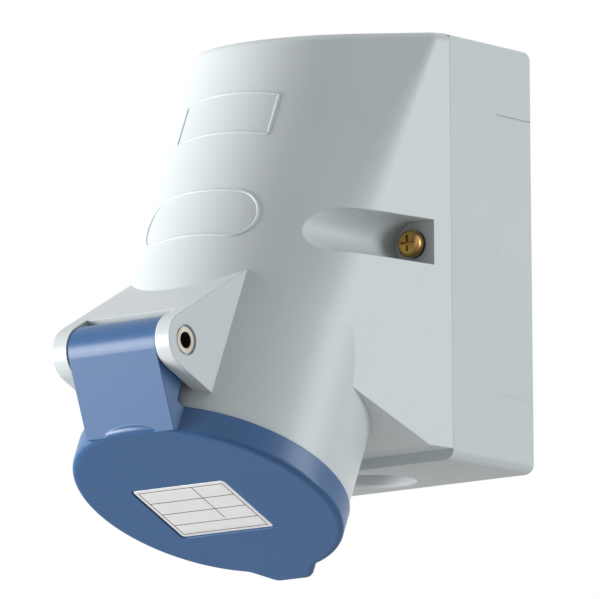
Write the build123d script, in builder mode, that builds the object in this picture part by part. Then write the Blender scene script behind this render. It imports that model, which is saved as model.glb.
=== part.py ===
from build123d import *
import os
from math import asin, atan, atan2, cos, hypot, radians, sin, sqrt, tan

os.makedirs("parts", exist_ok=True)

# Surface-mounted industrial socket-outlet, five poles, with a sprung lid.
# The origin is the middle of the wall face. +X is right as seen from the front,
# +Y goes into the wall and +Z is up, so the front of the object looks along -Y.

# Housing
width = 89
height = 124
base_depth = 39
wall = 3
corner_radius = 3
back_edge_radius = 1
cover_step = 3             # the cover ends this far above the bottom of the base
side_taper = 0.14          # the cover's sides draw in by this much for each mm forward
top_fall = 0.078           # and its top falls by this much
top_edge_radius = 3
crease_start = 4           # the side crease meets the top this far in front of the base
crease_lead = 10           # its rounding starts from a point this far above the top

# Barrel, along an axis that leans forward from the vertical
tilt = 24
barrel_inset = 5.4         # the barrel stays this far inside the sides of the housing
lid_stand = 57.5           # from the front of the base to the centre of the closed lid's outer face
lid_drop = 15              # and from the foot of the base down to it
underside = 36             # the flanks of the cover end this far above the lid's face

# Lid and hinge, with distances along the barrel's axis counted from the lid's outer face
lid_overhang = 0.7         # the lid is wider than the barrel by this much all round
lid_depth = 8.4
lid_face = 2.4
lid_rim = 2.3
lid_edge_radius = 1.8
lobe_width = 12
lobe_root = 24
lobe_proud = 4.5
lobe_radius = 4
clearance = 0.3            # between moving pieces
fit_gap = 0.05             # between a shaft or screw and its hole
pin_stand = 9              # hinge pin, in front of the lid's edge
pin_height = 22.4
pin_radius = 3
pin_bore_radius = 2.4
pin_flare_radius = 3.7
pin_flare = 0.6
pin_recess_radius = 4.4
pin_recess = 0.9
lug_radius = 7.9
lug_thickness = 5.1
hood_angle = 38            # the hood's roof leans forward from the barrel's axis
roof_overhang = 2.6        # the roof ends this far in front of the pin
roof_thickness = 2.6
knuckle_radius = 7.6
knuckle_shell = 2.2
shell_angle = 50           # the shell over the spring ends here, from straight forward
strap_width = 31.4
strap_angle = 44           # the strap's outer face, from the barrel's axis
strap_thickness = 2.4
cheek = 2.6

# Label on the lid
label_length = 33
label_width = 25.5
label_thickness = 0.4
label_recess = 0.6
label_margin = 0.5
label_corner = 1
label_offset = 3.6
label_back = 3

# Contact insert, each size counted inwards from the cover's bore
lip_width = 2.9
lip_thickness = 2
nozzle_gap = 0.6           # between the insert's front and the cover's lip
nozzle_wall = 3.6
nozzle_start = 0.5         # the insert's front edge, behind the barrel's mouth
shroud_wall = 2.5
seal_thickness = 1.5
flange_thickness = 2.8
collar_gap = 6             # room for the plug's collar between shroud and core
core_front = 14
insert_floor = 45
floor_thickness = 4
keyway_width = 6
keyway_depth = 2.3
sleeve_inset = 4.2         # the sleeves start this far behind the block's face
pocket_chamfer = 0.4
pole_inset = 6             # from the core's edge in to the circle of the contacts
earth_angle = 90           # the earth contact is at the back, and the others follow round
line_pin_radius = 2.5
earth_pin_radius = 3.5
pin_play = 0.05
sleeve_wall = 1.3
sleeve_end = 44
shoulder = 1.4
shoulder_radius = 5.4
terminal_radius = 4.4
terminal_length = 11.6
wire_bore_radius = 1.9
wire_bore_depth = 10
slit_width = 0.8
terminal_screw_radius = 1.5
terminal_head_radius = 2.5
terminal_head = 1.6
retainer_overhang = 5      # beyond the core
retainer_rim = 2
retainer_thickness = 2.6
ear_angle = 42
ear_gap = 1.2              # between the ears' seats and the cover's bore
ear_radius = 4.5
pilot_spare = 1            # a screw's hole is deeper than the screw by this much
small_screw_radius = 1.5
small_head_radius = 2.9
small_head = 2.2
small_screw_length = 9

# Lid spring, wound round the pin
wire_radius = 0.6
coil_radius = 4.3
coil_pitch = 1.5
full_turns = 8
leg_angle = 126            # where the housing's leg leaves the coil, from straight forward
lid_leg = 12
seat_wall = 1.5
seat_length = 3

# Lid gasket
gasket_overlap = 0.4       # wider than the insert's front edge on both sides
gasket_room = 0.6
gasket_lip = 0.4
pedestal_height = 3

# Cover screws in their channels
screw_inset = 8            # from the housing's side
channel_radius = 6.5
channel_wall = 2.4
channel_stand = 7          # from the front of the base to the channel's end
screw_radius = 1.9
screw_head_radius = 4
screw_head = 2.6
screw_length = 13
washer_thickness = 1
boss_radius = 4.1

# Gasket between base and cover, wall fixings and cable entries
groove_width = 1.4
groove_depth = 1.2
fixing_inset = 11.5        # wall fixings, from the sides of the base
fixing_rise = 15           # and from its foot and top
fixing_radius = 2.75
fixing_boss_radius = 5.5
fixing_boss_height = 5
entry_radius = 12.5
entry_membrane = 1.2
entry_chamfer = 0.8
panel_inset = 21           # from the foot and the top of the base
panel_reach = 17
panel_depth = 0.4

# Places worked out from the sizes above
barrel_radius = width / 2 - barrel_inset
lid_reach = base_depth + lid_stand
lid_radius = barrel_radius + lid_overhang
lobe_reach = lid_radius + lobe_proud
lobe_shoulder = sqrt(lid_radius**2 - (lobe_root / 2)**2) - fit_gap
pin_forward = lid_radius + pin_stand
roof_front = pin_forward + roof_overhang
bore_radius = barrel_radius - wall
lip_radius = bore_radius - lip_width
nozzle_radius = lip_radius - nozzle_gap
shroud_radius = nozzle_radius - nozzle_wall
core_radius = shroud_radius - collar_gap
pole_radius = core_radius - pole_inset
retainer_radius = core_radius + retainer_overhang
ear_circle = bore_radius + ear_gap + ear_radius
ear_spread = ear_circle * cos(radians(ear_angle))
ear_back = ear_circle * sin(radians(ear_angle))
gasket_inner_radius = shroud_radius - gasket_overlap
gasket_outer_radius = nozzle_radius + gasket_overlap
screw_spread = width / 2 - screw_inset
channel_end = base_depth + channel_stand

# Planes of the leaning barrel: "barrel" is the lid's outer face, with its normal up the axis and
# its y pointing back, and "hinge" is the middle plane, with x forward and y up the axis
lean = radians(tilt)
lid_centre = (0, -lid_reach, -height / 2 - lid_drop)
up_axis = (0, sin(lean), cos(lean))
forward = (0, -cos(lean), sin(lean))
barrel = Plane(origin=lid_centre, x_dir=(1, 0, 0), z_dir=up_axis)
hinge = Plane(origin=lid_centre, x_dir=forward, z_dir=(-1, 0, 0))

mouth = lid_depth + clearance
top = height / 2
rim_foot = -height / 2 + cover_step
reach = 2 * height

# The flat facet that joins the barrel to the side's crease touches the barrel at this angle from
# the front; the crease point is given across and forward of the barrel's axis
crease_x = width / 2 - side_taper * crease_start
crease_y = -base_depth - crease_start
crease_forward = (lid_reach + crease_y) * -cos(lean) + (top - lid_centre[2]) * sin(lean)
crease_up = (lid_reach + crease_y) * sin(lean) + (top - lid_centre[2]) * cos(lean)
facet_angle = asin(barrel_radius / hypot(crease_x, crease_forward)) - atan2(crease_forward, crease_x)


def side_line(inset, up):
    """How far the side's plane lies from the axis, along x, in the cross-section at this height."""
    drawn_in = inset * sqrt(1 + side_taper**2)
    return width / 2 - drawn_in + side_taper * (base_depth - lid_reach + up * sin(lean))


def cover_form(inset):
    """The cover's outside, or the same form drawn in all round by a wall."""
    radius = barrel_radius - inset
    slope = side_taper * cos(lean)
    touch_angle = atan(slope)
    touch = (radius * cos(touch_angle), -radius * sin(touch_angle))
    side_at_axis = side_line(inset, 0)
    blend_end = (radius * hypot(1, slope) - side_at_axis) / (side_taper * sin(lean))
    facet_x, facet_y = radius * sin(facet_angle), -radius * cos(facet_angle)
    far_x = facet_x + width * cos(facet_angle)
    far_y = facet_y + width * sin(facet_angle)
    apex_up = crease_up + crease_lead

    def crease(up):
        side = side_line(inset, up)
        run = (radius - side * sin(facet_angle)) / (cos(facet_angle) - slope * sin(facet_angle))
        return side - slope * run, -run

    flank_foot = underside + inset
    nose_foot = max(blend_end, flank_foot + fit_gap)
    crease_corner = crease(blend_end)
    outside = (crease_corner[0] * 1.1, crease_corner[1] * 1.1)
    middle = (touch_angle + radians(90) - facet_angle) / 2
    apex_x, apex_y = crease(apex_up)

    with BuildPart() as form:
        # Flanks below the tangent line, then the nose with its facets above it
        with BuildSketch(barrel.offset(flank_foot)):
            with Locations((0, touch[1] + reach / 2)):
                Rectangle(reach, reach)
        extrude(amount=nose_foot - flank_foot)
        with BuildSketch(barrel.offset(nose_foot)):
            with BuildLine():
                ThreePointArc((-facet_x, facet_y), (0, -radius), (facet_x, facet_y))
                Polyline((facet_x, facet_y), (far_x, far_y), (far_x, reach), (-far_x, reach),
                         (-far_x, far_y), (-facet_x, facet_y))
            make_face()
        extrude(amount=reach - nose_foot)
        # Drafted sides
        back = -base_depth + inset
        front = -2 * lid_reach
        back_x = side_line(inset, 0) + side_taper * (back + lid_reach)
        front_x = side_line(inset, 0) + side_taper * (front + lid_reach)
        with BuildSketch(Plane.XY.offset(rim_foot + inset)):
            Polygon((-back_x, back), (back_x, back), (front_x, front), (-front_x, front), align=None)
        extrude(amount=reach, mode=Mode.INTERSECT)
        # The crease between side and facet is rounded by a cone with its point above the top
        for side in (1, -1):
            with BuildSketch(barrel.offset(blend_end), mode=Mode.PRIVATE) as blend:
                with BuildLine():
                    ThreePointArc((side * touch[0], touch[1]),
                                  (side * radius * cos(middle), -radius * sin(middle)),
                                  (side * facet_x, facet_y))
                    Polyline((side * facet_x, facet_y), (side * outside[0], outside[1]),
                             (side * touch[0], touch[1]))
                make_face()
            point = Vertex(*barrel.from_local_coords(Vector(side * apex_x, apex_y, apex_up)))
            loft(sections=[blend.sketch.face(), point], ruled=True, mode=Mode.SUBTRACT)
        # The barrel itself, open at its mouth
        with BuildSketch(barrel.offset(mouth - inset)):
            Circle(radius)
        extrude(amount=reach)
        # Back plane and falling top
        low = top - top_fall * (2 * lid_reach - base_depth) - inset
        with BuildSketch(Plane.YZ):
            Polygon((back, -reach), (back, top - inset + top_fall * inset), (front, low),
                    (front, -reach), align=None)
        extrude(amount=width, both=True, mode=Mode.INTERSECT)
    return form.part


cover_outside = cover_form(0)
cover_inside = cover_form(wall)

# Rim where cover and base meet
rim_middle = (top + rim_foot) / 2
rim_height = top - rim_foot

# Front opening of the cover's barrel, in front of the insert
lip_end = mouth + lip_thickness
seal_end = lip_end + seal_thickness
flange_end = seal_end + flange_thickness
insert_end = insert_floor + floor_thickness

channel_back = channel_end - wall
boss_end = channel_back - clearance / 2

# Lug, seen along the hinge pin
hood = radians(hood_angle)
lug_inner = strap_width / 2 + clearance
lug_outer = lug_inner + lug_thickness
lug_root = barrel_radius * 0.72
roof_line = (pin_forward + lug_radius * cos(hood), pin_height + lug_radius * sin(hood))


def on_roof(forward_place):
    """Height of the roof's upper line where it is this far forward of the axis."""
    return roof_line[1] + (roof_line[0] - forward_place) / tan(hood)


lug_turn = radians((hood_angle - 90) / 2)

with BuildPart() as cover:
    add(cover_outside)
    top_edges = cover.faces().sort_by(Axis.Z)[-1].edges()
    fillet([edge for edge in top_edges if edge.center().Y < -base_depth - fit_gap], radius=top_edge_radius)
    # Hinge lugs, and the hood's roof between them
    for start in (-lug_outer, lug_inner):
        with BuildSketch(hinge.offset(start)):
            with BuildLine():
                ThreePointArc(roof_line,
                              (pin_forward + lug_radius * cos(lug_turn),
                               pin_height + lug_radius * sin(lug_turn)),
                              (pin_forward, pin_height - lug_radius))
                Polyline((pin_forward, pin_height - lug_radius), (lug_root, pin_height - lug_radius),
                         (lug_root, on_roof(lug_root)), roof_line)
            make_face()
        extrude(amount=lug_thickness)
    with BuildSketch(hinge):
        under_x = roof_thickness * cos(hood)
        under_y = roof_thickness * sin(hood)
        Polygon((lug_root, on_roof(lug_root)), (roof_front, on_roof(roof_front)),
                (roof_front - under_x, on_roof(roof_front) - under_y),
                (lug_root - under_x, on_roof(lug_root) - under_y), align=None)
    extrude(amount=lug_inner, both=True)
    # Hollow inside, with the lip that holds the insert
    add(cover_inside, mode=Mode.SUBTRACT)
    with BuildSketch(barrel.offset(mouth)):
        Circle(bore_radius + fit_gap)
        Circle(lip_radius, mode=Mode.SUBTRACT)
    extrude(amount=lip_thickness)
    # Seats of the insert's two ears
    with BuildSketch(barrel.offset(underside + fit_gap)):
        with Locations((-ear_spread, ear_back), (ear_spread, ear_back)):
            Circle(ear_radius)
    extrude(amount=insert_floor - underside - fit_gap)
    with BuildSketch(barrel.offset(insert_floor)):
        with Locations((-ear_spread, ear_back), (ear_spread, ear_back)):
            Circle(small_screw_radius + fit_gap)
    extrude(amount=floor_thickness - small_screw_length - pilot_spare, mode=Mode.SUBTRACT)

    # Bores for the hinge pin, countersunk for its flared ends
    with BuildSketch(hinge):
        with Locations((pin_forward, pin_height)):
            Circle(pin_radius + fit_gap)
    extrude(amount=lug_outer, both=True, mode=Mode.SUBTRACT)
    for start, inward in ((-lug_outer, pin_recess), (lug_outer, -pin_recess)):
        with BuildSketch(hinge.offset(start)):
            with Locations((pin_forward, pin_height)):
                Circle(pin_recess_radius)
        extrude(amount=inward, mode=Mode.SUBTRACT)

# Channels for the cover screws, open to the side, with a wall round each one inside the cover
screw_places = {"left": -screw_spread, "right": screw_spread}
with BuildPart() as channels:
    with BuildSketch(Plane.XZ.offset(channel_end)):
        for side in (-1, 1):
            with Locations((side * (screw_spread - channel_radius + width / 2), 0)):
                SlotOverall(width, 2 * channel_radius)
    extrude(amount=channel_end)

with BuildPart() as channel_walls:
    with BuildSketch(Plane.XZ.offset(channel_back)):
        with Locations(*[(place, 0) for place in screw_places.values()]):
            Circle(channel_radius + channel_wall)
    extrude(amount=channel_end)
    add(channels.part, mode=Mode.SUBTRACT)
    add(cover_outside, mode=Mode.INTERSECT)

with BuildPart() as finished_cover:
    add(cover.part)
    add(channels.part, mode=Mode.SUBTRACT)
    add(channel_walls.part)
    with BuildSketch(Plane.XZ.offset(channel_back)):
        with Locations(*[(place, 0) for place in screw_places.values()]):
            Circle(screw_radius + fit_gap)
    extrude(amount=wall, mode=Mode.SUBTRACT)
finished_cover.part.label = "cover_housing"
export_step(finished_cover.part, "parts/cover_housing.step")

# Base: a deep tray screwed to the wall, with the bosses that the cover is screwed to
with BuildPart() as base:
    with BuildSketch(Plane.XZ):
        Rectangle(width, height)
    extrude(amount=base_depth)
    fillet(base.edges().filter_by(Axis.Y), radius=corner_radius)
    fillet(base.faces().sort_by(Axis.Y)[-1].edges(), radius=back_edge_radius)
    with BuildSketch(Plane.XZ.offset(wall)):
        with Locations((0, rim_middle)):
            Rectangle(width - 2 * wall, rim_height - 2 * wall)
    extrude(amount=base_depth, mode=Mode.SUBTRACT)
    with BuildSketch(Plane.XZ.offset(wall)):
        with Locations(*[(place, 0) for place in screw_places.values()]):
            Circle(boss_radius)
    extrude(amount=boss_end - wall)
    with BuildSketch(Plane.XZ.offset(wall)):
        rib_length = width / 2 - wall - screw_spread
        for side in (-1, 1):
            with Locations((side * (screw_spread + rib_length / 2 + fit_gap), 0)):
                Rectangle(rib_length, wall)
    extrude(amount=base_depth - 2 * wall)
    with BuildSketch(Plane.XZ.offset(boss_end)):
        with Locations(*[(place, 0) for place in screw_places.values()]):
            Circle(screw_radius + fit_gap)
    extrude(amount=-screw_length, mode=Mode.SUBTRACT)
    # Wall fixings in the four corners
    with BuildSketch(Plane.XZ.offset(wall)):
        with GridLocations(width - 2 * fixing_inset, height - 2 * fixing_rise, 2, 2):
            Circle(fixing_boss_radius)
    extrude(amount=fixing_boss_height)
    with BuildSketch(Plane.XZ):
        with GridLocations(width - 2 * fixing_inset, height - 2 * fixing_rise, 2, 2):
            Circle(fixing_radius)
    extrude(amount=base_depth, mode=Mode.SUBTRACT)
    # Round knock-outs for the cable in the foot and the top
    for face_plane, thickness in ((Plane.XY.offset(-top), wall + cover_step),
                                  (Plane.XY.offset(top), -wall)):
        inward = 1 if thickness > 0 else -1
        with BuildSketch(face_plane):
            with Locations((0, -base_depth / 2)):
                Circle(entry_radius)
        extrude(amount=thickness - inward * entry_membrane, mode=Mode.SUBTRACT)
    knock_out_rims = base.edges().filter_by(GeomType.CIRCLE).filter_by(
        lambda edge: abs(edge.center().Z) > top - fit_gap and edge.radius > entry_radius - fit_gap)
    chamfer(knock_out_rims, length=entry_chamfer)
    # Shallow panels in the sides, open to the back
    for side in (-1, 1):
        with BuildSketch(Plane.YZ.offset(side * width / 2)):
            with Locations((-panel_reach / 2, 0)):
                Rectangle(panel_reach, height - 2 * panel_inset)
        extrude(amount=-side * panel_depth, mode=Mode.SUBTRACT)
    # Groove for the gasket in the rim
    with BuildSketch(Plane.XZ.offset(base_depth)) as groove:
        with Locations((0, rim_middle)):
            Rectangle(width - wall + groove_width, rim_height - wall + groove_width)
            Rectangle(width - wall - groove_width, rim_height - wall - groove_width, mode=Mode.SUBTRACT)
    extrude(amount=-groove_depth, mode=Mode.SUBTRACT)
base.part.label = "base_box"
export_step(base.part, "parts/base_box.step")

with BuildPart() as housing_gasket:
    with BuildSketch(Plane.XZ.offset(base_depth)):
        add(groove.sketch_local)
    extrude(amount=-groove_depth)
housing_gasket.part.label = "housing_gasket"
export_step(housing_gasket.part, "parts/housing_gasket.step")

# Cover screws on their sealing washers
for name, place in screw_places.items():
    with BuildPart() as washer:
        with BuildSketch(Plane.XZ.offset(channel_end)):
            with Locations((place, 0)):
                Circle(screw_head_radius)
                Circle(screw_radius + fit_gap, mode=Mode.SUBTRACT)
        extrude(amount=washer_thickness)
    washer.part.label = "screw_washer_" + name
    export_step(washer.part, f"parts/screw_washer_{name}.step")

    seat = Plane.XZ.offset(channel_end + washer_thickness)
    with BuildPart() as screw:
        with BuildSketch(seat):
            with Locations((place, 0)):
                Circle(screw_head_radius)
        extrude(amount=screw_head)
        fillet(screw.edges().group_by(Axis.Y)[0], radius=screw_head / 2)
        with BuildSketch(seat):
            with Locations((place, 0)):
                Circle(screw_radius)
        extrude(amount=-screw_length)
        with BuildSketch(seat.offset(screw_head)):
            with Locations((place, 0)):
                Rectangle(screw_head_radius * 1.2, screw_radius / 2)
                Rectangle(screw_radius / 2, screw_head_radius * 1.2)
        extrude(amount=-screw_head / 2, mode=Mode.SUBTRACT)
    screw.part.label = "cover_screw_" + name
    export_step(screw.part, f"parts/cover_screw_{name}.step")

# Hollow hinge pin, flared at both ends
pin_centre = hinge.from_local_coords(Vector(pin_forward, pin_height, 0))
with BuildPart() as pin:
    with BuildSketch(hinge):
        with Locations((pin_forward, pin_height)):
            Circle(pin_radius)
    extrude(amount=lug_outer - pin_recess + pin_flare, both=True)
    for start, outward in ((-lug_outer + pin_recess, -pin_flare), (lug_outer - pin_recess, pin_flare)):
        with BuildSketch(hinge.offset(start)):
            with Locations((pin_forward, pin_height)):
                Circle(pin_flare_radius)
        extrude(amount=outward)
    with BuildSketch(hinge):
        with Locations((pin_forward, pin_height)):
            Circle(pin_bore_radius)
    extrude(amount=lug_outer, both=True, mode=Mode.SUBTRACT)
pin.part.label = "hinge_pin"
export_step(pin.part, "parts/hinge_pin.step")

# Torsion spring: one leg bears on the barrel, the wire winds round the pin, and the other leg runs
# down behind the strap into a hole in the lid's spring seat
strap = radians(strap_angle)
leg_start = radians(leg_angle)
turns = full_turns + (leg_angle + strap_angle) / 360
coil_length = turns * coil_pitch
towards_start = Vector(*forward) * cos(leg_start) + Vector(*up_axis) * sin(leg_start)
coil = Plane(origin=pin_centre - Vector(coil_length / 2, 0, 0), x_dir=towards_start,
             z_dir=(1, 0, 0)) * Helix(pitch=coil_pitch, height=coil_length, radius=coil_radius)
leg_rest = sqrt(barrel_radius**2 - (coil_length / 2)**2) + fit_gap
leg_drop = pin_forward + coil_radius * cos(leg_start) - leg_rest + wire_radius * cos(leg_start)
housing_leg = leg_drop / sin(leg_start)
leg_start_point = coil @ 0 - (coil % 0) * housing_leg
leg_end_point = coil @ 1 + (coil % 1) * lid_leg
with BuildPart() as spring:
    with BuildLine():
        Line(leg_start_point, coil @ 0)
        add(coil)
        Line(coil @ 1, leg_end_point)
    with BuildSketch(Plane(origin=leg_start_point, z_dir=coil % 0)):
        Circle(wire_radius)
    sweep()
spring.part.label = "lid_spring"
export_step(spring.part, "parts/lid_spring.step")

# Lid: a shallow cap with a thumb lobe opposite the hinge, and an arm that ends in the knuckle
strap_out = (cos(strap), -sin(strap))
strap_down = (-sin(strap), -cos(strap))
knuckle_touch = (pin_forward + knuckle_radius * strap_out[0], pin_height + knuckle_radius * strap_out[1])
strap_run = knuckle_touch[1] / cos(strap)
strap_foot = (knuckle_touch[0] + strap_run * strap_down[0], 0)
lid_bore = lid_radius - lid_rim
arm_root = sqrt(lid_bore**2 - (strap_width / 2)**2)
inner_touch = (pin_forward + (knuckle_radius - strap_thickness) * strap_out[0],
               pin_height + (knuckle_radius - strap_thickness) * strap_out[1])
inner_run = (inner_touch[1] - lid_depth) / cos(strap)
inner_foot = (inner_touch[0] + inner_run * strap_down[0], lid_depth)
knuckle_hollow = knuckle_radius - knuckle_shell
shell_top = pin_height + knuckle_radius
seat_depth = knuckle_radius - strap_thickness - coil_radius + strap_thickness / 2

with BuildPart() as lid:
    with BuildSketch(barrel) as lid_outline:
        Circle(lid_radius)
        Polygon((-lobe_root / 2, 0), (lobe_root / 2, 0), (lobe_root / 2, lobe_shoulder),
                (lobe_width / 2, lobe_reach), (-lobe_width / 2, lobe_reach),
                (-lobe_root / 2, lobe_shoulder), align=None)
        fillet(lid_outline.vertices(), radius=lobe_radius)
    extrude(amount=lid_depth)
    face_edges = lid.edges().filter_by(lambda edge: abs(barrel.to_local_coords(edge.center()).Z) < fit_gap)
    fillet(face_edges, radius=lid_edge_radius)
    with BuildSketch(barrel.offset(lid_face)):
        Circle(lid_bore)
        Circle(gasket_outer_radius + gasket_room, mode=Mode.SUBTRACT)
    extrude(amount=lid_depth, mode=Mode.SUBTRACT)
    with BuildSketch(barrel.offset(lid_face + pedestal_height)):
        Circle(gasket_outer_radius + gasket_room + gasket_lip)
    extrude(amount=lid_depth, mode=Mode.SUBTRACT)
    with BuildSketch(barrel.offset(lid_face)):
        Circle(gasket_inner_radius - gasket_room)
    extrude(amount=lid_depth, mode=Mode.SUBTRACT)
    # Arm
    with BuildSketch(hinge):
        Polygon(knuckle_touch, strap_foot, (arm_root, lid_edge_radius), (arm_root, lid_depth),
                (lid_radius, lid_depth), (pin_forward - knuckle_radius, pin_height),
                (pin_forward, pin_height), align=None)
        with Locations((pin_forward, pin_height)):
            Circle(knuckle_radius)
    extrude(amount=strap_width / 2, both=True)
    with BuildSketch(hinge):
        Polygon(inner_touch, inner_foot, (barrel_radius, lid_depth), (barrel_radius, shell_top),
                (pin_forward + knuckle_radius / tan(radians(shell_angle)), shell_top),
                (pin_forward, pin_height), align=None)
        with Locations((pin_forward, pin_height)):
            Circle(knuckle_hollow)
    extrude(amount=strap_width / 2 - cheek, both=True, mode=Mode.SUBTRACT)
    with BuildSketch(hinge):
        with Locations((pin_forward, pin_height)):
            Circle(pin_radius + fit_gap)
    extrude(amount=strap_width, both=True, mode=Mode.SUBTRACT)
    # Spring seat on the back of the strap, and the recess for the label
    leg_end = Plane(origin=leg_end_point, x_dir=(1, 0, 0), z_dir=coil % 1)
    with BuildSketch(leg_end):
        with Locations((0, (seat_depth - seat_wall) / 2)):
            Rectangle(2 * seat_wall, seat_depth + seat_wall)
    extrude(amount=-seat_length)
    with BuildSketch(leg_end):
        Circle(wire_radius + fit_gap)
    extrude(amount=-seat_length, mode=Mode.SUBTRACT)
    with BuildSketch(barrel):
        with Locations((-label_offset, label_back)):
            RectangleRounded(label_length + 2 * label_margin, label_width + 2 * label_margin,
                             label_corner + label_margin)
    extrude(amount=label_recess, mode=Mode.SUBTRACT)
lid.part.label = "lid"
export_step(lid.part, "parts/lid.step")

with BuildPart() as label:
    with BuildSketch(barrel.offset(label_recess)):
        with Locations((-label_offset, label_back)):
            RectangleRounded(label_length, label_width, label_corner)
    extrude(amount=-label_thickness)
label.part.label = "rating_label"
export_step(label.part, "parts/rating_label.step")

nozzle_front = mouth + nozzle_start
with BuildPart() as lid_gasket:
    with BuildSketch(barrel.offset(lid_face + pedestal_height)):
        Circle(gasket_outer_radius)
        Circle(gasket_inner_radius, mode=Mode.SUBTRACT)
    extrude(amount=nozzle_front - clearance - lid_face - pedestal_height)
lid_gasket.part.label = "lid_gasket"
export_step(lid_gasket.part, "parts/lid_gasket.step")

# Contact insert: a shroud with a keyway at the hinge's side, held behind the cover's lip, a round
# block that the contacts stand in, and a plate across the back of both, screwed to the cover
poles = ["earth", "neutral", "line_1", "line_2", "line_3"]
contact_angles = {name: earth_angle + 360 / len(poles) * place for place, name in enumerate(poles)}
with BuildPart() as shroud:
    with BuildSketch(barrel.offset(nozzle_front)):
        Circle(nozzle_radius)
    extrude(amount=seal_end - nozzle_front)
    with BuildSketch(barrel.offset(seal_end)):
        Circle(bore_radius - fit_gap)
    extrude(amount=flange_thickness)
    with BuildSketch(barrel.offset(flange_end)):
        Circle(shroud_radius + shroud_wall)
        with Locations((0, shroud_radius)):
            Rectangle(keyway_width + 2 * shroud_wall, 2 * (keyway_depth + shroud_wall))
    extrude(amount=insert_floor - flange_end)
    with BuildSketch(barrel.offset(nozzle_front)):
        Circle(shroud_radius)
        with Locations((0, shroud_radius)):
            Rectangle(keyway_width, 2 * keyway_depth)
    extrude(amount=insert_floor, mode=Mode.SUBTRACT)
shroud.part.label = "insert_shroud"
export_step(shroud.part, "parts/insert_shroud.step")

with BuildPart() as block:
    with BuildSketch(barrel.offset(core_front)):
        Circle(core_radius)
    extrude(amount=insert_floor - core_front)
    with BuildSketch(barrel.offset(core_front)):
        for name, angle in contact_angles.items():
            pin_size = earth_pin_radius if name == "earth" else line_pin_radius
            with PolarLocations(pole_radius, 1, start_angle=angle):
                Circle(pin_size + sleeve_wall + fit_gap)
    extrude(amount=insert_floor, mode=Mode.SUBTRACT)
    front_edges = block.edges().filter_by(
        lambda edge: abs(barrel.to_local_coords(edge.center()).Z - core_front) < fit_gap)
    chamfer(front_edges, length=pocket_chamfer)
    with BuildSketch(barrel.offset(insert_end)):
        Circle(small_screw_radius + fit_gap)
    extrude(amount=-small_screw_length, mode=Mode.SUBTRACT)
block.part.label = "contact_block"
export_step(block.part, "parts/contact_block.step")

with BuildPart() as back_plate:
    with BuildSketch(barrel.offset(insert_floor)):
        Circle(shroud_radius + shroud_wall)
        with Locations((0, ear_back)):
            Rectangle(2 * ear_spread, 2 * ear_radius)
        with Locations((-ear_spread, ear_back), (ear_spread, ear_back)):
            Circle(ear_radius)
            Circle(small_screw_radius + fit_gap, mode=Mode.SUBTRACT)
        Circle(small_screw_radius + fit_gap, mode=Mode.SUBTRACT)
        for name, angle in contact_angles.items():
            pin_size = earth_pin_radius if name == "earth" else line_pin_radius
            with PolarLocations(pole_radius, 1, start_angle=angle):
                Circle(pin_size + sleeve_wall + fit_gap, mode=Mode.SUBTRACT)
    extrude(amount=floor_thickness)
back_plate.part.label = "insert_plate"
export_step(back_plate.part, "parts/insert_plate.step")

with BuildPart() as insert_seal:
    with BuildSketch(barrel.offset(lip_end)):
        Circle(bore_radius - fit_gap)
        Circle(lip_radius, mode=Mode.SUBTRACT)
    extrude(amount=seal_thickness)
insert_seal.part.label = "insert_seal"
export_step(insert_seal.part, "parts/insert_seal.step")

# Contacts: a sleeve that the plug's pin slides into, a shoulder on the floor and a terminal behind
sleeve_start = core_front + sleeve_inset
shoulder_end = insert_end + shoulder
terminal_end = shoulder_end + terminal_length
screw_line = terminal_end - wire_bore_depth / 2 + 1
for name, angle in contact_angles.items():
    pin_size = earth_pin_radius if name == "earth" else line_pin_radius
    radial = barrel.x_dir * cos(radians(angle)) + barrel.y_dir * sin(radians(angle))
    seat = Plane(origin=barrel.offset(screw_line).origin + radial * (pole_radius + terminal_radius),
                 z_dir=radial)
    with BuildPart() as contact:
        with BuildSketch(barrel.offset(sleeve_start)):
            with PolarLocations(pole_radius, 1, start_angle=angle):
                Circle(pin_size + sleeve_wall)
        extrude(amount=insert_end - sleeve_start)
        with BuildSketch(barrel.offset(insert_end)):
            with PolarLocations(pole_radius, 1, start_angle=angle):
                Circle(shoulder_radius)
        extrude(amount=shoulder)
        with BuildSketch(barrel.offset(shoulder_end)):
            with PolarLocations(pole_radius, 1, start_angle=angle):
                Circle(terminal_radius)
        extrude(amount=terminal_length)
        with BuildSketch(barrel.offset(sleeve_start)):
            with PolarLocations(pole_radius, 1, start_angle=angle):
                Circle(pin_size + pin_play)
        extrude(amount=sleeve_end - sleeve_start, mode=Mode.SUBTRACT)
        with BuildSketch(barrel.offset(sleeve_start)):
            with PolarLocations(pole_radius, 1, start_angle=angle):
                Rectangle(slit_width, 2 * (pin_size + sleeve_wall + fit_gap))
        extrude(amount=(sleeve_end - sleeve_start) / 2, mode=Mode.SUBTRACT)
        with BuildSketch(barrel.offset(terminal_end)):
            with PolarLocations(pole_radius, 1, start_angle=angle):
                Circle(wire_bore_radius)
        extrude(amount=-wire_bore_depth, mode=Mode.SUBTRACT)
        with BuildSketch(seat):
            Circle(terminal_screw_radius + fit_gap)
        extrude(amount=-terminal_radius, mode=Mode.SUBTRACT)
    contact.part.label = "contact_" + name
    export_step(contact.part, f"parts/contact_{name}.step")

    with BuildPart() as terminal_screw:
        with BuildSketch(seat):
            Circle(terminal_head_radius)
        extrude(amount=terminal_head)
        with BuildSketch(seat):
            Circle(terminal_screw_radius)
        extrude(amount=-terminal_radius + wire_bore_radius / 2)
    terminal_screw.part.label = "terminal_screw_" + name
    export_step(terminal_screw.part, f"parts/terminal_screw_{name}.step")

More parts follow.
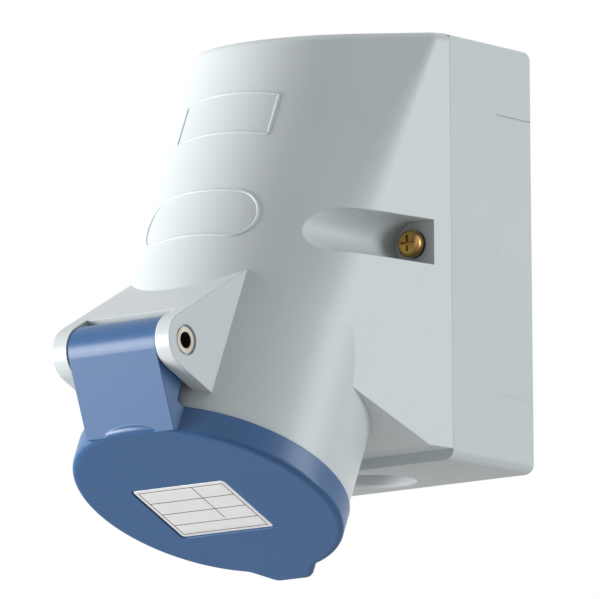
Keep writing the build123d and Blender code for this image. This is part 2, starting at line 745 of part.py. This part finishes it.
# Plate that holds the contacts' shoulders down on the insert's floor
with BuildPart() as retainer:
    with BuildSketch(barrel.offset(insert_end)):
        Circle(retainer_radius)
        Circle(retainer_radius - retainer_rim, mode=Mode.SUBTRACT)
    extrude(amount=shoulder)
    with BuildSketch(barrel.offset(shoulder_end)):
        Circle(retainer_radius)
        with PolarLocations(pole_radius, len(poles), start_angle=earth_angle):
            Circle(terminal_radius + fit_gap, mode=Mode.SUBTRACT)
        Circle(small_screw_radius + fit_gap, mode=Mode.SUBTRACT)
    extrude(amount=retainer_thickness)
retainer.part.label = "contact_retainer"
export_step(retainer.part, "parts/contact_retainer.step")

# Small screws: one through the retainer, two through the insert's ears
retainer_end = shoulder_end + retainer_thickness
small_screws = {
    "retainer_screw": (0, 0, retainer_end, retainer_end - insert_end + small_screw_length - pilot_spare),
    "insert_screw_left": (-ear_spread, ear_back, insert_end, small_screw_length),
    "insert_screw_right": (ear_spread, ear_back, insert_end, small_screw_length),
}
for name, (across, back, head_up, length) in small_screws.items():
    with BuildPart() as small_screw:
        with BuildSketch(barrel.offset(head_up)):
            with Locations((across, back)):
                Circle(small_head_radius)
        extrude(amount=small_head)
        with BuildSketch(barrel.offset(head_up)):
            with Locations((across, back)):
                Circle(small_screw_radius)
        extrude(amount=-length)
    small_screw.part.label = name
    export_step(small_screw.part, f"parts/{name}.step")
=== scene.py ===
"""Looks of a surface-mounted industrial socket-outlet with a sprung blue lid."""

from math import cos, radians, sin

import bpy
import numpy as np
from mathutils import Matrix, Vector


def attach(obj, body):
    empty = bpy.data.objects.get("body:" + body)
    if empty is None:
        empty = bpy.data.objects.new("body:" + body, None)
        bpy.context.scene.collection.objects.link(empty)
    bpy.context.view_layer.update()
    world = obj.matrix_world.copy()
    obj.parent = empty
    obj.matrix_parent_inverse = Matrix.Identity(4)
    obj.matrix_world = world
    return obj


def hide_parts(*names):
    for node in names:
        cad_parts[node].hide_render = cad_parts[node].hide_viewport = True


bl_info = {
    "name": "Industrial wall socket",
    "version": (1, 0, 0),
    "blender": (4, 5, 0),
    "location": "View3D > Sidebar > Wall Socket",
    "description": "Dresses the packed wall socket: moulded plastic, metal, rubber, label, studio",
    "category": "Object",
}

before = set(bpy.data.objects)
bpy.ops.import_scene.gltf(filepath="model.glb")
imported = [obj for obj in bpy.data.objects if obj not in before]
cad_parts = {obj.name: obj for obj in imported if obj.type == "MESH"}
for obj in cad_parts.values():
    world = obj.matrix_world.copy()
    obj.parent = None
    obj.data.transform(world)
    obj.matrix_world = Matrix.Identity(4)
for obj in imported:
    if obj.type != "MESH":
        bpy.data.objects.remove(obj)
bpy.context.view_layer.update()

# The leaning barrel: centre of the closed lid's outer face, and the axes that shapes are given in
LEAN = radians(24)
LID_CENTRE = np.array([0.0, -0.0965, -0.077])
UP = np.array([0.0, sin(LEAN), cos(LEAN)])
FORWARD = np.array([0.0, -cos(LEAN), sin(LEAN)])
ACROSS = np.array([1.0, 0.0, 0.0])
BARREL_RADIUS = 0.0391
POLES = ("earth", "neutral", "line_1", "line_2", "line_3")

# The raised outlines on the barrel: degrees round it, height, corner radius, and how far up the
# barrel's axis the middle lies
OUTLINES = {
    "outline_upper": (50, 0.0134, 0.0004, 0.1067),
    "outline_lower": (61, 0.0150, 0.0074, 0.0730),
}


# Settings

class WallSocketSettings(bpy.types.PropertyGroup):
    """Sizes and colours that a user would change."""

    housing_colour: bpy.props.StringProperty(
        name="Housing Colour",
        description="Light grey of the base and cover, as an sRGB hex value",
        default="D3D9DA")
    lid_colour: bpy.props.StringProperty(
        name="Lid Colour", description="Blue of the lid, as an sRGB hex value", default="305E90")
    insert_colour: bpy.props.StringProperty(
        name="Insert Colour", description="Blue of the contact insert, as an sRGB hex value",
        default="2F5F95")
    grain_size: bpy.props.FloatProperty(
        name="Grain Size", description="Width of the mould's fine grain",
        default=0.0006, min=0.0001, max=0.003, unit="LENGTH")
    frame_width: bpy.props.FloatProperty(
        name="Frame Width", description="Width of the raised outlines on the barrel",
        default=0.0009, min=0.0003, max=0.003, unit="LENGTH")
    frame_height: bpy.props.FloatProperty(
        name="Frame Height", description="How far the raised outlines stand out of the barrel",
        default=0.00035, min=0.0001, max=0.001, unit="LENGTH")
    floor_drop: bpy.props.FloatProperty(
        name="Floor Drop", description="Distance of the studio floor below the frame's origin",
        default=1.3, min=0.1, max=3.0, unit="LENGTH")
    key_power: bpy.props.FloatProperty(
        name="Key Power", description="Power of the large soft light at the front left, in watts",
        default=37.0, min=0.0, max=200.0)


# Small tools

def linear(hex_colour):
    """An sRGB hex value as linear red, green, blue and an alpha of 1."""
    srgb = np.array([int(hex_colour[i:i + 2], 16) / 255 for i in (0, 2, 4)])
    low = srgb <= 0.04045
    value = np.where(low, srgb / 12.92, ((srgb + 0.055) / 1.055) ** 2.4)
    return (*value.tolist(), 1.0)


def dimmed(colour, share):
    """A linear colour at a share of its brightness, with an alpha of 1."""
    return tuple(channel * share for channel in colour[:3]) + (1.0,)


def add(tree, kind, values=None, links=None, **settings):
    """Adds a node with its settings, its inputs' values and the links into it."""
    node = tree.nodes.new(kind)
    for key, value in settings.items():
        setattr(node, key, value)
    for key, value in (values or {}).items():
        node.inputs[key].default_value = value
    for key, source in (links or {}).items():
        tree.links.new(source, node.inputs[key])
    return node


def new_material(name, **sockets):
    """A material with one Principled shader, whose uniform values are set on its own sockets."""
    material = bpy.data.materials.new(name)
    material.use_nodes = True
    tree = material.node_tree
    shader = tree.nodes["Principled BSDF"]
    for key, value in sockets.items():
        shader.inputs[key.replace("_", " ")].default_value = value
    return material, tree, shader


def feed(tree, shader, **sources):
    """Links patterns into the shader's sockets of those names."""
    for key, source in sources.items():
        tree.links.new(source, shader.inputs[key.replace("_", " ")])


def place(across, forward, up):
    """Points given across, forward and up the barrel's axis, as an array of places in metres."""
    across, forward, up = np.broadcast_arrays(across, forward, up)
    return (LID_CENTRE + across[..., None] * ACROSS + forward[..., None] * FORWARD
            + up[..., None] * UP)


def surface(name, points, close_u=False, close_v=False, uv=None):
    """A mesh object from a grid of points: quads join each point to its neighbours along both
    parameters, and wrap round where that parameter is closed."""
    rows, columns = points.shape[:2]
    index = np.arange(rows * columns).reshape(rows, columns)
    if close_u:
        index = np.vstack([index, index[:1]])
    if close_v:
        index = np.hstack([index, index[:, :1]])
    quads = np.stack([index[:-1, :-1], index[1:, :-1], index[1:, 1:], index[:-1, 1:]], axis=-1)
    mesh = bpy.data.meshes.new(name)
    mesh.from_pydata(points.reshape(-1, 3), [], quads.reshape(-1, 4))
    if uv is not None:
        layer = mesh.uv_layers.new(name="UVMap")
        corners = np.empty(len(mesh.loops), dtype=np.int32)
        mesh.loops.foreach_get("vertex_index", corners)
        layer.data.foreach_set("uv", uv.reshape(-1, 2)[corners].astype(np.float32).ravel())
    mesh.shade_smooth()
    piece = bpy.data.objects.new(name, mesh)
    bpy.context.scene.collection.objects.link(piece)
    return piece


def rounded_outline(length, width, radius, arc=12, run=24):
    """A rounded rectangle about the origin: four quarter circles, whose centres are one radius in
    from each corner, joined by straight runs. Gives its points and its outward normals."""
    turn = np.linspace(0, np.pi / 2, arc)
    angles = np.arange(4)[:, None] * np.pi / 2 + turn
    arc_normals = np.stack([np.cos(angles), np.sin(angles)], axis=-1)
    signs = np.array([[1, 1], [-1, 1], [-1, -1], [1, -1]])
    centres = signs * [length / 2 - radius, width / 2 - radius]
    arcs = centres[:, None] + radius * arc_normals
    share = np.linspace(0, 1, run + 2)[1:-1, None]
    following = np.roll(arcs[:, :1], -1, axis=0)
    runs = arcs[:, -1:] * (1 - share) + following * share
    run_normals = np.repeat(arc_normals[:, -1:], run, axis=1)
    points = np.concatenate([arcs, runs], axis=1).reshape(-1, 2)
    return points, np.concatenate([arc_normals, run_normals], axis=1).reshape(-1, 2)


def dress(material, *names):
    """Gives CAD nodes their material."""
    for name in names:
        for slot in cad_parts[name].material_slots:
            slot.material = material


# Materials

def moulded_plastic(name, colour, grain, roughness):
    """Glass-filled polyamide out of a spark-eroded mould: a fine grain breaks up its highlights,
    the colour clouds slightly where the melt met, and the edges are a little rounded."""
    cloud_size, darkest = 0.03, 0.95
    grain_depth, gloss_drift = 0.00008, 0.07
    edge_radius = 0.0004
    material, tree, shader = new_material(name, IOR=1.52)
    where = add(tree, "ShaderNodeTexCoord").outputs["Object"]
    clouds = add(tree, "ShaderNodeTexNoise", {"Scale": 1 / cloud_size, "Detail": 3.0},
                 {"Vector": where})
    base = linear(colour)
    tint = add(tree, "ShaderNodeMix", {"A": dimmed(base, darkest), "B": base},
               {"Factor": clouds.outputs["Fac"]}, data_type="RGBA")
    # The grain is about two pixels wide here, coarser than the real one, so that it shows
    fine = add(tree, "ShaderNodeTexNoise", {"Scale": 1 / grain, "Detail": 2.0}, {"Vector": where})
    gloss = add(tree, "ShaderNodeMapRange",
                {"To Min": roughness - gloss_drift, "To Max": roughness + gloss_drift},
                {"Value": fine.outputs["Fac"]})
    edge = add(tree, "ShaderNodeBevel", {"Radius": edge_radius}, samples=6)
    bump = add(tree, "ShaderNodeBump", {"Strength": 0.10, "Distance": grain_depth},
               {"Height": fine.outputs["Fac"], "Normal": edge.outputs["Normal"]})
    feed(tree, shader, Base_Color=tint.outputs["Result"], Roughness=gloss.outputs["Result"],
         Normal=bump.outputs["Normal"])
    return material


def bright_metal(name, colour, second, patch, roughness, mark_depth=0.00005):
    """Zinc or nickel plate, drawn steel or bare brass: bright metal whose skin drifts between two
    tints in patches, with fine marks left by the lathe or the die."""
    mark_size = 0.0004
    material, tree, shader = new_material(name, Metallic=1.0)
    where = add(tree, "ShaderNodeTexCoord").outputs["Object"]
    drift = add(tree, "ShaderNodeTexNoise", {"Scale": 1 / patch, "Detail": 2.0}, {"Vector": where})
    spread = add(tree, "ShaderNodeMapRange", {"From Min": 0.35, "From Max": 0.65},
                 {"Value": drift.outputs["Fac"]})
    tint = add(tree, "ShaderNodeMix", {"A": linear(colour), "B": linear(second)},
               {"Factor": spread.outputs["Result"]}, data_type="RGBA")
    marks = add(tree, "ShaderNodeTexNoise", {"Scale": 1 / mark_size, "Detail": 1.0},
                {"Vector": where})
    gloss = add(tree, "ShaderNodeMapRange",
                {"To Min": roughness - 0.08, "To Max": roughness + 0.1},
                {"Value": marks.outputs["Fac"]})
    bump = add(tree, "ShaderNodeBump", {"Strength": 0.15, "Distance": mark_depth},
               {"Height": marks.outputs["Fac"]})
    feed(tree, shader, Base_Color=tint.outputs["Result"], Roughness=gloss.outputs["Result"],
         Normal=bump.outputs["Normal"])
    return material


def seal_rubber():
    """EPDM rubber: nearly black and matt, with a faint pale bloom on its surface."""
    bloom_size, bloom_depth = 0.004, 0.00005
    material, tree, shader = new_material("epdm_rubber", Roughness=0.75, IOR=1.5)
    where = add(tree, "ShaderNodeTexCoord").outputs["Object"]
    bloom = add(tree, "ShaderNodeTexNoise", {"Scale": 1 / bloom_size, "Detail": 4.0},
                {"Vector": where})
    tint = add(tree, "ShaderNodeMix", {"A": linear("171717"), "B": linear("262727")},
               {"Factor": bloom.outputs["Fac"]}, data_type="RGBA")
    bump = add(tree, "ShaderNodeBump", {"Strength": 0.2, "Distance": bloom_depth},
               {"Height": bloom.outputs["Fac"]})
    feed(tree, shader, Base_Color=tint.outputs["Result"], Normal=bump.outputs["Normal"])
    return material


def label_film(length, width):
    """Silver polyester film: a satin metallised surface with plain printed rules and blank fields,
    set out on its own UV map, whose units are metres."""
    material, tree, shader = new_material("silver_polyester_film", Roughness=0.4, Metallic=0.35)
    uv = add(tree, "ShaderNodeUVMap", uv_map="UVMap").outputs["UV"]
    apart = add(tree, "ShaderNodeSeparateXYZ", links={"Vector": uv})
    x, y = apart.outputs["X"], apart.outputs["Y"]

    def near(value, middle, half):
        return add(tree, "ShaderNodeMath", {1: middle, 2: half}, {0: value},
                   operation="COMPARE").outputs[0]

    def combine(a, b, operation):
        return add(tree, "ShaderNodeMath", links={0: a, 1: b}, operation=operation).outputs[0]

    # A printed line runs round the edge: what is inside its outer edge but not inside its inner one
    margin, line = 0.0012, 0.0003
    outer_x = near(x, 0.0, length / 2 - margin)
    outer_y = near(y, 0.0, width / 2 - margin)
    inner_x = near(x, 0.0, length / 2 - margin - line)
    inner_y = near(y, 0.0, width / 2 - margin - line)
    outer = combine(outer_x, outer_y, "MULTIPLY")
    inner = combine(inner_x, inner_y, "MULTIPLY")
    ink = combine(outer, inner, "SUBTRACT")

    # Three rules lie across, one field apart, and one stands upright between two fields
    middle_rule, field = 0.0005, 0.006
    for step in (-1, 0, 1):
        rule = near(y, middle_rule + step * field, line / 2)
        ink = combine(ink, combine(rule, inner_x, "MULTIPLY"), "MAXIMUM")
    upright_x, upright_y, upright_half = 0.004, -0.003, 0.0085
    upright = combine(near(x, upright_x, line / 2), near(y, upright_y, upright_half), "MULTIPLY")
    ink = combine(ink, upright, "MAXIMUM")

    film, grime_size, grimiest = linear("FDFDFE"), 0.006, 0.94
    grime = add(tree, "ShaderNodeTexNoise", {"Scale": 1 / grime_size, "Detail": 3.0},
                {"Vector": uv})
    tint = add(tree, "ShaderNodeMix", {"A": dimmed(film, grimiest), "B": film},
               {"Factor": grime.outputs["Fac"]}, data_type="RGBA")
    printed = add(tree, "ShaderNodeMix", {"B": linear("2A2D33")},
                  {"Factor": ink, "A": tint.outputs["Result"]}, data_type="RGBA")
    feed(tree, shader, Base_Color=printed.outputs["Result"])
    return material


# Studio

def direction(azimuth, elevation):
    """The way from the part to a light or the camera: degrees round from the front towards +X, and
    degrees up."""
    a, e = radians(azimuth), radians(elevation)
    return Vector((sin(a) * cos(e), -cos(a) * cos(e), sin(e)))


def studio_floor(drop):
    """One large flat square of matt paper, see-through from below so that it never hides the
    part."""
    reach = 12.0
    grid = np.linspace(-reach, reach, 3)
    x, y = np.meshgrid(grid, grid, indexing="ij")
    floor = surface("studio_floor", np.stack([x, y, np.full_like(x, -drop)], axis=-1))
    paper, tree, shader = new_material("matt_paper", Base_Color=linear("F1EDEA"), Roughness=0.9)
    below = add(tree, "ShaderNodeNewGeometry").outputs["Backfacing"]
    clear = add(tree, "ShaderNodeBsdfTransparent")
    mixed = add(tree, "ShaderNodeMixShader",
                links={0: below, 1: shader.outputs["BSDF"], 2: clear.outputs["BSDF"]})
    tree.links.new(mixed.outputs["Shader"], tree.nodes["Material Output"].inputs["Surface"])
    floor.data.materials.append(paper)


def studio_world(scene):
    """White to the camera, in reflections and through glass, and a plain grey for its light."""
    world = bpy.data.worlds.new("studio_world")
    scene.world = world
    world.use_nodes = True
    tree = world.node_tree
    path = add(tree, "ShaderNodeLightPath")
    seen = path.outputs["Is Camera Ray"]
    for kind in ("Is Transmission Ray", "Is Glossy Ray"):
        seen = add(tree, "ShaderNodeMath", links={0: seen, 1: path.outputs[kind]},
                   operation="MAXIMUM").outputs[0]
    ambient = add(tree, "ShaderNodeMix", {"A": linear("85898B"), "B": linear("FFFFFF")},
                  {"Factor": seen}, data_type="RGBA")
    tree.links.new(ambient.outputs["Result"], tree.nodes["Background"].inputs["Color"])


def soft_light(scene, name, azimuth, elevation, distance, size, power, colour="FFFFFF"):
    """A rectangular lamp that faces the part's middle from a distance."""
    middle = Vector((0, -0.06, 0))
    lamp = bpy.data.lights.new(name, "AREA")
    lamp.shape = "RECTANGLE"
    lamp.size, lamp.size_y = size
    lamp.energy = power
    lamp.color = linear(colour)[:3]
    holder = bpy.data.objects.new(name, lamp)
    scene.collection.objects.link(holder)
    back = direction(azimuth, elevation)
    holder.location = middle + back * distance
    holder.rotation_euler = (-back).to_track_quat("-Z", "Y").to_euler()


def photo_camera(scene):
    """A camera below the part and to its right, far away and nearly without perspective, which
    was solved from the edges of the box in the photograph."""
    back = direction(37.85, -9.47)
    roll = radians(-0.42)
    distance = 3.491
    pixels_per_metre = 3470.0
    image_width = 600
    # The middle of the housing lies this many pixels right of and above the middle of the image
    housing_middle = Vector((0, -0.04625, 0))
    pixels_right, pixels_up = 13.33, 41.03

    lens = bpy.data.cameras.new("camera")
    camera = bpy.data.objects.new("camera", lens)
    scene.collection.objects.link(camera)
    scene.camera = camera
    turn = (-back).to_track_quat("-Z", "Y").to_matrix() @ Matrix.Rotation(roll, 3, "Z")
    right, up = turn.col[0], turn.col[1]
    aim = (housing_middle - right * (pixels_right / pixels_per_metre)
           - up * (pixels_up / pixels_per_metre))
    camera.matrix_world = Matrix.Translation(aim + back * distance) @ turn.to_4x4()
    lens.sensor_width = 36.0
    lens.lens = lens.sensor_width * distance * pixels_per_metre / image_width
    lens.clip_start, lens.clip_end = 0.1, 60.0


# Operators

class SOCKET_OT_housing(bpy.types.Operator):
    """Light grey moulded plastic on the base and the cover"""
    bl_idname = "wall_socket.housing"
    bl_label = "Housing"

    def execute(self, context):
        settings = context.scene.wall_socket
        grey = moulded_plastic("polyamide_light_grey", settings.housing_colour,
                               settings.grain_size, roughness=0.35)
        dress(grey, "base_box", "cover_housing")
        return {"FINISHED"}


class SOCKET_OT_lid(bpy.types.Operator):
    """Blue moulded plastic on the lid and the shroud, black on the block, plate and retainer"""
    bl_idname = "wall_socket.lid"
    bl_label = "Lid and Insert"

    def execute(self, context):
        settings = context.scene.wall_socket
        grain = settings.grain_size
        blue = moulded_plastic("polyamide_blue", settings.lid_colour, grain, roughness=0.36)
        dress(blue, "lid")
        inner = moulded_plastic("polyamide_insert_blue", settings.insert_colour, grain,
                                roughness=0.4)
        dress(inner, "insert_shroud")
        black = moulded_plastic("polyamide_black", "1F2124", grain, roughness=0.5)
        dress(black, "contact_block", "insert_plate", "contact_retainer")
        return {"FINISHED"}


class SOCKET_OT_metal(bpy.types.Operator):
    """Plated screws, hinge pin, spring wire and brass contacts"""
    bl_idname = "wall_socket.metal"
    bl_label = "Metal Parts"

    def execute(self, context):
        yellow_zinc = bright_metal("yellow_passivated_zinc", "C9A75A", "B0845A", patch=0.003,
                                   roughness=0.32)
        dress(yellow_zinc, "cover_screw_left", "cover_screw_right")
        nickel = bright_metal("nickel_plate", "A8A196", "978F84", patch=0.004, roughness=0.3,
                              mark_depth=0.00001)
        dress(nickel, "hinge_pin")
        spring_steel = bright_metal("drawn_spring_steel", "A5A6AA", "8E9095", patch=0.002,
                                    roughness=0.22)
        dress(spring_steel, "lid_spring")
        brass = bright_metal("bare_brass", "D1B36A", "C19C55", patch=0.006, roughness=0.3)
        dress(brass, *["contact_" + name for name in POLES])
        blue_zinc = bright_metal("blue_passivated_zinc", "BCC2C8", "A9B2BC", patch=0.003,
                                 roughness=0.34)
        dress(blue_zinc, "retainer_screw", "insert_screw_left", "insert_screw_right",
              *["terminal_screw_" + name for name in POLES])
        return {"FINISHED"}


class SOCKET_OT_seals(bpy.types.Operator):
    """Black rubber on the gaskets and sealing washers"""
    bl_idname = "wall_socket.seals"
    bl_label = "Seals"

    def execute(self, context):
        dress(seal_rubber(), "lid_gasket", "insert_seal", "housing_gasket", "screw_washer_left",
              "screw_washer_right")
        return {"FINISHED"}


class SOCKET_OT_label(bpy.types.Operator):
    """Bare label on the lid, a thin film with rounded corners and a soft edge"""
    bl_idname = "wall_socket.label"
    bl_label = "Label"

    def execute(self, context):
        length, width, thickness, corner = 0.033, 0.0255, 0.0004, 0.001
        # Depth of its recess in the lid, and how far its middle lies left of and behind the lid's
        recess, left, behind = 0.0006, 0.0036, 0.003
        # Each ring is the outline at a share of its size, drawn in by an inset: the rings start at
        # the middle of one face, turn over the edge in a half circle and end at the middle of the
        # other
        outline, normals = rounded_outline(length, width, corner)
        turn = np.linspace(0, np.pi, 9)
        soft = thickness / 2
        partway = 0.7
        share = np.concatenate([[0.0, partway], np.ones(len(turn)), [partway, 0.0]])
        inset = np.concatenate([[0.0, 0.0], soft * (1 - np.sin(turn)), [0.0, 0.0]])
        height = np.concatenate([[0.0, 0.0], soft * (1 - np.cos(turn)), [thickness, thickness]])
        drawn_in = outline * share[:, None, None] - normals * inset[:, None, None]
        points = place(drawn_in[..., 0] - left, -behind - drawn_in[..., 1],
                       recess - height[:, None])
        piece = surface("label_film", points, close_v=True, uv=drawn_in)
        piece.data.materials.append(label_film(length, width))
        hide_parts("rating_label")
        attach(piece, "lid")
        return {"FINISHED"}


class SOCKET_OT_frames(bpy.types.Operator):
    """Two raised outlines moulded on the front of the barrel, with nothing inside them"""
    bl_idname = "wall_socket.frames"
    bl_label = "Raised Outlines"

    def execute(self, context):
        settings = context.scene.wall_socket
        grey = bpy.data.materials["polyamide_light_grey"]
        turn = np.linspace(0, 2 * np.pi, 17)[:-1]
        side = settings.frame_width / 2 * np.cos(turn)
        rise = settings.frame_height * np.sin(turn)
        for name, (degrees_round, height, corner, middle) in OUTLINES.items():
            # An ellipse is carried along the outline, which is laid on the barrel: the distance
            # round the barrel becomes an angle, and the ellipse's height adds to the radius
            length = radians(degrees_round) * BARREL_RADIUS
            outline, normals = rounded_outline(length, height, corner, arc=24)
            path = outline[:, None, :] + normals[:, None, :] * side[None, :, None]
            angle = path[..., 0] / BARREL_RADIUS
            radial = BARREL_RADIUS + rise[None, :] + np.zeros(len(outline))[:, None]
            points = place(radial * np.sin(angle), radial * np.cos(angle), path[..., 1] + middle)
            piece = surface(name, points, close_u=True, close_v=True)
            piece.data.materials.append(grey)
            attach(piece, "housing")
        return {"FINISHED"}


class SOCKET_OT_studio(bpy.types.Operator):
    """Pale floor, soft lights and the camera"""
    bl_idname = "wall_socket.studio"
    bl_label = "Studio"

    def execute(self, context):
        scene = context.scene
        settings = scene.wall_socket
        key_power = settings.key_power
        scene.view_settings.view_transform = "Standard"
        studio_floor(settings.floor_drop)
        studio_world(scene)
        soft_light(scene, "key", azimuth=-48, elevation=-3, distance=1.6, size=(1.0, 0.9),
                   power=key_power, colour="FEFEFF")
        soft_light(scene, "side", azimuth=118, elevation=6, distance=1.5, size=(0.6, 1.2),
                   power=key_power * 0.32, colour="F6FCFF")
        soft_light(scene, "top", azimuth=0, elevation=85, distance=1.6, size=(1.0, 1.0),
                   power=key_power * 0.12)
        photo_camera(scene)
        return {"FINISHED"}


class SOCKET_PT_panel(bpy.types.Panel):
    """Lists the settings and the steps"""
    bl_idname = "SOCKET_PT_panel"
    bl_label = "Industrial Wall Socket"
    bl_space_type = "VIEW_3D"
    bl_region_type = "UI"
    bl_category = "Wall Socket"

    def draw(self, context):
        settings = context.scene.wall_socket
        for name in settings.bl_rna.properties.keys():
            if name not in ("rna_type", "name"):
                self.layout.prop(settings, name)
        for step in STEPS:
            self.layout.operator(step.bl_idname)


STEPS = (SOCKET_OT_housing, SOCKET_OT_lid, SOCKET_OT_metal, SOCKET_OT_seals, SOCKET_OT_label,
         SOCKET_OT_frames, SOCKET_OT_studio)


def register():
    for made in (WallSocketSettings, *STEPS, SOCKET_PT_panel):
        bpy.utils.register_class(made)
    bpy.types.Scene.wall_socket = bpy.props.PointerProperty(type=WallSocketSettings)


def unregister():
    del bpy.types.Scene.wall_socket
    for made in reversed((WallSocketSettings, *STEPS, SOCKET_PT_panel)):
        bpy.utils.unregister_class(made)


def main():
    register()
    bpy.ops.wall_socket.housing()
    bpy.ops.wall_socket.lid()
    bpy.ops.wall_socket.metal()
    bpy.ops.wall_socket.seals()
    bpy.ops.wall_socket.label()
    bpy.ops.wall_socket.frames()
    bpy.ops.wall_socket.studio()


if __name__ == "__main__":
    main()
